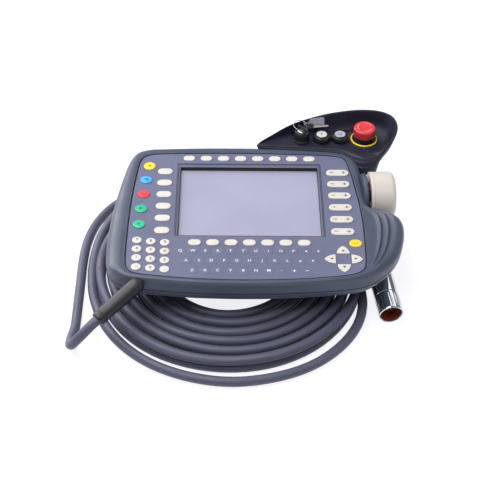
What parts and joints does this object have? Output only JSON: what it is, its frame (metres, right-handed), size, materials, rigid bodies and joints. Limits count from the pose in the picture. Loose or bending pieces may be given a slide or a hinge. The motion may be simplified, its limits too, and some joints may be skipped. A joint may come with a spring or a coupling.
{
  "type": "teach pendant",
  "caption": "Handheld robot teach pendant with colour display, function keys, keyboard, emergency stop, key switch, jog puck and coiled cable with round connector.",
  "frame": {"origin": "centre of the display window's front face", "axes": "+X to the pendant's right, +Y towards the switch console, +Z out of the display towards the operator"},
  "size_m": [0.3739, 0.3654, 0.1031],
  "materials": {
    "housing_plastic": "fine moulded grain",
    "panel_foil": "satin foil",
    "window": "anti-glare",
    "lcd": "satin",
    "key_white": "satin",
    "key_yellow": "satin",
    "key_blue": "satin",
    "key_red": "satin",
    "key_green": "satin",
    "key_dark": "satin",
    "silicone": "matt",
    "board": "solder resist",
    "console_plastic": "moulded grain",
    "estop_red": "gloss",
    "estop_yellow": "satin",
    "lens": "frosted",
    "collar_plastic": "satin",
    "contact_plastic": "satin",
    "steel": "satin",
    "puck_plastic": "fine grain",
    "acetal": "satin",
    "zinc": "cast",
    "switch_grey": "satin",
    "start_green": "satin",
    "palm_rubber": "matt",
    "seal_rubber": "matt",
    "boot_rubber": "matt",
    "cable_jacket": "matt",
    "chrome": "polished",
    "insert_plastic": "satin",
    "gold": "plated"
  },
  "bodies": {
    "housing": {"front_shell": "housing_plastic", "rear_shell": "housing_plastic", "housing_seal": "seal_rubber", "key_panel": "panel_foil", "display_bezel": "housing_plastic", "display_window": "window", "lcd_module": "lcd", "key_mat": "silicone", "key_board": "board", "main_board": "board", "switch_console": "console_plastic", "estop_collar": "estop_yellow", "button_collars": "collar_plastic", "key_switch_collar": "collar_plastic", "contact_blocks": "contact_plastic", "puck_seat": "housing_plastic", "palm_rests": "palm_rubber", "housing_screws": "steel", "cable_boot": "boot_rubber", "cable_lead": "cable_jacket", "cable_coil": "cable_jacket", "cable_tail": "cable_jacket", "connector_shell": "chrome", "connector_sleeve": "chrome", "connector_insert": "insert_plastic", "connector_contacts": "gold"},
    "estop_plunger": {"estop_plunger": "acetal"},
    "estop_cap": {"estop_cap": "estop_red"},
    "on_button": {"on_button": "lens"},
    "off_button": {"off_button": "lens"},
    "mode_key": {"mode_key": "steel"},
    "key_ring": {"key_ring": "steel"},
    "puck_core": {"puck_core": "acetal"},
    "puck_gimbal": {"puck_gimbal": "zinc"},
    "puck_cap": {"puck_cap": "puck_plastic"},
    "enabling_switch_rear": {"enabling_switch_rear": "switch_grey"},
    "enabling_switch_front": {"enabling_switch_front": "switch_grey"},
    "enabling_switch_right": {"enabling_switch_right": "switch_grey"},
    "start_key": {"start_key": "start_green"},
    "yellow_key": {"yellow_key": "key_yellow"},
    "blue_key": {"blue_key": "key_blue"},
    "red_key": {"red_key": "key_red"},
    "green_key_upper": {"green_key_upper": "key_green"},
    "green_key_lower": {"green_key_lower": "key_green"},
    "enter_key": {"enter_key": "key_yellow"},
    "cursor_up": {"cursor_up": "key_white"},
    "cursor_right": {"cursor_right": "key_white"},
    "cursor_left": {"cursor_left": "key_white"},
    "cursor_down": {"cursor_down": "key_white"},
    "left_keys": {"left_keys": "key_white"},
    "menu_keys": {"menu_keys": "key_white"},
    "soft_keys": {"soft_keys": "key_white"},
    "number_keys": {"number_keys": "key_white"},
    "letter_keys": {"letter_keys": "key_dark"},
    "jog_rocker_1": {"jog_rocker_1": "key_white"},
    "jog_rocker_2": {"jog_rocker_2": "key_white"},
    "jog_rocker_3": {"jog_rocker_3": "key_white"},
    "jog_rocker_4": {"jog_rocker_4": "key_white"},
    "jog_rocker_5": {"jog_rocker_5": "key_white"},
    "jog_rocker_6": {"jog_rocker_6": "key_white"}
  },
  "joints": [
    {"name": "estop_press", "type": "slide", "parent": "housing", "child": "estop_plunger", "axis": [0, 0, -1], "range_m": [0, 0.004]},
    {"name": "estop_twist", "type": "hinge", "parent": "estop_plunger", "child": "estop_cap", "pos_m": [0.138, 0.113, 0.0195], "axis": [0, 0, -1], "range_deg": [0, 40], "stiffness_Nm_per_rad": 0.05},
    {"name": "on_button_press", "type": "slide", "parent": "housing", "child": "on_button", "axis": [0, 0, -1], "range_m": [0, 0.0025], "stiffness_N_per_m": 900, "springref_m": -0.0004},
    {"name": "off_button_press", "type": "slide", "parent": "housing", "child": "off_button", "axis": [0, 0, -1], "range_m": [0, 0.0025], "stiffness_N_per_m": 900, "springref_m": -0.0004},
    {"name": "mode_key_turn", "type": "hinge", "parent": "housing", "child": "mode_key", "pos_m": [0.063, 0.1095, 0.0145], "axis": [0, 0, 1], "range_deg": [-90, 0]},
    {"name": "key_ring_swing", "type": "hinge", "parent": "mode_key", "child": "key_ring", "pos_m": [0.06559, 0.107, 0.0253], "axis": [0.6947, 0.7193, 0], "range_deg": [-6, 14]},
    {"name": "puck_slide", "type": "slide", "parent": "housing", "child": "puck_core", "axis": [0.9985, 0.0541, 0], "range_m": [-0.0015, 0.0015], "stiffness_N_per_m": 2500},
    {"name": "puck_tilt", "type": "hinge", "parent": "puck_core", "child": "puck_gimbal", "pos_m": [0.14588, 0.0217, -0.005], "axis": [0, 0, 1], "range_deg": [-3, 3], "stiffness_Nm_per_rad": 2.5},
    {"name": "puck_twist", "type": "hinge", "parent": "puck_gimbal", "child": "puck_cap", "pos_m": [0.15287, 0.02208, -0.005], "axis": [0.9985, 0.0541, 0], "range_deg": [-4, 4], "stiffness_Nm_per_rad": 1.5},
    {"name": "enabling_switch_rear_press", "type": "slide", "parent": "housing", "child": "enabling_switch_rear", "axis": [0, 0, 1], "range_m": [0, 0.003], "stiffness_N_per_m": 1500, "springref_m": -0.0006},
    {"name": "enabling_switch_front_press", "type": "slide", "parent": "housing", "child": "enabling_switch_front", "axis": [0, 0, 1], "range_m": [0, 0.003], "stiffness_N_per_m": 1500, "springref_m": -0.0006},
    {"name": "enabling_switch_right_press", "type": "slide", "parent": "housing", "child": "enabling_switch_right", "axis": [0, 0, 1], "range_m": [0, 0.003], "stiffness_N_per_m": 1500, "springref_m": -0.0006},
    {"name": "start_key_press", "type": "slide", "parent": "housing", "child": "start_key", "axis": [0, 0, 1], "range_m": [0, 0.002], "stiffness_N_per_m": 1200, "springref_m": -0.0005},
    {"name": "yellow_key_press", "type": "slide", "parent": "housing", "child": "yellow_key", "axis": [0, 0, -1], "range_m": [0, 0.0009], "stiffness_N_per_m": 700, "springref_m": -0.0003},
    {"name": "blue_key_press", "type": "slide", "parent": "housing", "child": "blue_key", "axis": [0, 0, -1], "range_m": [0, 0.0009], "stiffness_N_per_m": 700, "springref_m": -0.0003},
    {"name": "red_key_press", "type": "slide", "parent": "housing", "child": "red_key", "axis": [0, 0, -1], "range_m": [0, 0.0009], "stiffness_N_per_m": 700, "springref_m": -0.0003},
    {"name": "green_key_upper_press", "type": "slide", "parent": "housing", "child": "green_key_upper", "axis": [0, 0, -1], "range_m": [0, 0.0009], "stiffness_N_per_m": 700, "springref_m": -0.0003},
    {"name": "green_key_lower_press", "type": "slide", "parent": "housing", "child": "green_key_lower", "axis": [0, 0, -1], "range_m": [0, 0.0009], "stiffness_N_per_m": 700, "springref_m": -0.0003},
    {"name": "enter_key_press", "type": "slide", "parent": "housing", "child": "enter_key", "axis": [0, 0, -1], "range_m": [0, 0.0009], "stiffness_N_per_m": 700, "springref_m": -0.0003},
    {"name": "cursor_up_press", "type": "slide", "parent": "housing", "child": "cursor_up", "axis": [0, 0, -1], "range_m": [0, 0.0009], "stiffness_N_per_m": 700, "springref_m": -0.0003},
    {"name": "cursor_right_press", "type": "slide", "parent": "housing", "child": "cursor_right", "axis": [0, 0, -1], "range_m": [0, 0.0009], "stiffness_N_per_m": 700, "springref_m": -0.0003},
    {"name": "cursor_left_press", "type": "slide", "parent": "housing", "child": "cursor_left", "axis": [0, 0, -1], "range_m": [0, 0.0009], "stiffness_N_per_m": 700, "springref_m": -0.0003},
    {"name": "cursor_down_press", "type": "slide", "parent": "housing", "child": "cursor_down", "axis": [0, 0, -1], "range_m": [0, 0.0009], "stiffness_N_per_m": 700, "springref_m": -0.0003},
    {"name": "left_keys_press", "type": "slide", "parent": "housing", "child": "left_keys", "axis": [0, 0, -1], "range_m": [0, 0.0009], "stiffness_N_per_m": 4200, "springref_m": -0.0003},
    {"name": "menu_keys_press", "type": "slide", "parent": "housing", "child": "menu_keys", "axis": [0, 0, -1], "range_m": [0, 0.0009], "stiffness_N_per_m": 5600, "springref_m": -0.0003},
    {"name": "soft_keys_press", "type": "slide", "parent": "housing", "child": "soft_keys", "axis": [0, 0, -1], "range_m": [0, 0.0009], "stiffness_N_per_m": 4900, "springref_m": -0.0003},
    {"name": "number_keys_press", "type": "slide", "parent": "housing", "child": "number_keys", "axis": [0, 0, -1], "range_m": [0, 0.0009], "stiffness_N_per_m": 5600, "springref_m": -0.0003},
    {"name": "letter_keys_press", "type": "slide", "parent": "housing", "child": "letter_keys", "axis": [0, 0, -1], "range_m": [0, 0.0009], "stiffness_N_per_m": 5600, "springref_m": -0.0003},
    {"name": "jog_rocker_1_tilt", "type": "hinge", "parent": "housing", "child": "jog_rocker_1", "pos_m": [0.1026, 0.0503, 0.0015], "axis": [0, 1, 0], "range_deg": [-3, 3], "stiffness_Nm_per_rad": 0.6},
    {"name": "jog_rocker_2_tilt", "type": "hinge", "parent": "housing", "child": "jog_rocker_2", "pos_m": [0.1026, 0.0295, 0.0015], "axis": [0, 1, 0], "range_deg": [-3, 3], "stiffness_Nm_per_rad": 0.6},
    {"name": "jog_rocker_3_tilt", "type": "hinge", "parent": "housing", "child": "jog_rocker_3", "pos_m": [0.1026, 0.0087, 0.0015], "axis": [0, 1, 0], "range_deg": [-3, 3], "stiffness_Nm_per_rad": 0.6},
    {"name": "jog_rocker_4_tilt", "type": "hinge", "parent": "housing", "child": "jog_rocker_4", "pos_m": [0.1026, -0.0121, 0.0015], "axis": [0, 1, 0], "range_deg": [-3, 3], "stiffness_Nm_per_rad": 0.6},
    {"name": "jog_rocker_5_tilt", "type": "hinge", "parent": "housing", "child": "jog_rocker_5", "pos_m": [0.1026, -0.0329, 0.0015], "axis": [0, 1, 0], "range_deg": [-3, 3], "stiffness_Nm_per_rad": 0.6},
    {"name": "jog_rocker_6_tilt", "type": "hinge", "parent": "housing", "child": "jog_rocker_6", "pos_m": [0.1026, -0.0537, 0.0015], "axis": [0, 1, 0], "range_deg": [-3, 3], "stiffness_Nm_per_rad": 0.6}
  ]
}
